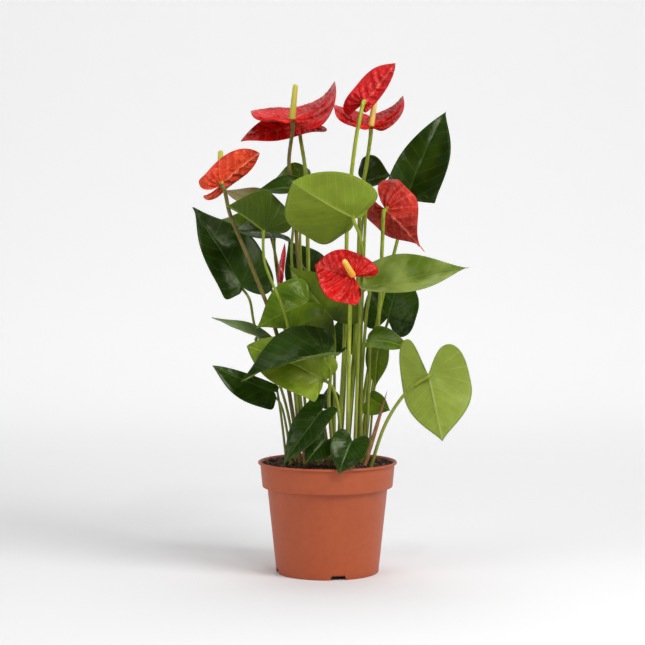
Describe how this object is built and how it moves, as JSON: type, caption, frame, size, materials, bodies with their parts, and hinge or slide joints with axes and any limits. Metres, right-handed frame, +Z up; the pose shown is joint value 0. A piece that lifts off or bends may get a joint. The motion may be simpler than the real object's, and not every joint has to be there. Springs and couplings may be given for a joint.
{
  "type": "potted anthurium",
  "caption": "Flowering anthurium in a terracotta-coloured plastic nursery pot: glossy heart-shaped leaves and red waxy blooms with yellow spadices.",
  "frame": {"origin": "centre of the pot foot, on the face it stands on", "axes": "+Z up along the pot axis, -Y towards the front of the plant, +X to its right as seen from the front"},
  "size_m": [0.2408, 0.1402, 0.435],
  "materials": {
    "pot": "matte moulded plastic",
    "soil": "rough dark peat",
    "leaf_dark": "glossy dark green, waxy",
    "leaf_mid": "satin green, waxy",
    "leaf_light": "satin light green",
    "leaf_olive": "matte olive underside",
    "leaf_bronze": "satin bronze young leaf",
    "leaf_grey": "matte grey-green",
    "stem": "smooth green stem",
    "spathe": "high-gloss waxy red",
    "spadix": "fine matte beads, yellow",
    "sheath": "dry papery brown"
  },
  "bodies": {
    "root": {"pot": "pot", "soil": "soil", "leaf_far_left": "leaf_dark", "leaf_bronze_back": "leaf_bronze", "leaf_olive_folded": "leaf_olive", "leaf_dark_high": "leaf_dark", "leaf_pale_high": "leaf_mid", "leaf_green_left": "leaf_mid", "leaf_dark_left": "leaf_dark", "leaf_broad_light": "leaf_light", "leaf_dark_high_right": "leaf_dark", "leaf_tall_right": "leaf_dark", "leaf_waved_right": "leaf_light", "leaf_dark_right_back": "leaf_dark", "leaf_striped_right": "leaf_mid", "leaf_bronze_hanging": "leaf_olive", "leaf_hanging_right": "leaf_light", "leaf_small_right": "leaf_mid", "leaf_over_rim_right": "leaf_dark", "leaf_over_rim_small": "leaf_dark", "leaf_over_rim_left": "leaf_dark", "leaf_left_lower": "leaf_dark", "leaf_left_front": "leaf_dark", "leaf_yellow_front": "leaf_light", "leaf_mid_left": "leaf_mid", "leaf_olive_centre": "leaf_olive", "leaf_edge_on_left": "leaf_grey", "leaf_centre_back": "leaf_dark", "leaf_inner_right": "leaf_dark", "leaf_mid_high": "leaf_mid", "leaf_inner_low": "leaf_dark", "bloom_high_left_stem": "stem", "bloom_high_left_spathe": "spathe", "bloom_high_left_spadix": "spadix", "bloom_left_open_stem": "stem", "bloom_left_open_spathe": "spathe", "bloom_left_open_spadix": "spadix", "bloom_high_right_stem": "stem", "bloom_high_right_spathe": "spathe", "bloom_high_right_spadix": "spadix", "bloom_top_stem": "stem", "bloom_top_spathe": "spathe", "bloom_top_spadix": "spadix", "bloom_far_left_stem": "stem", "bloom_far_left_spathe": "spathe", "bloom_far_left_spadix": "spadix", "bloom_front_stem": "stem", "bloom_front_spathe": "spathe", "bloom_front_spadix": "spadix", "bloom_right_stem": "stem", "bloom_right_spathe": "spathe", "bloom_right_spadix": "spadix", "bud_stem": "stem", "bud_spathe": "spathe", "sheath_tall": "sheath", "sheath_left": "sheath", "sheath_front": "sheath"}
  },
  "joints": []
}
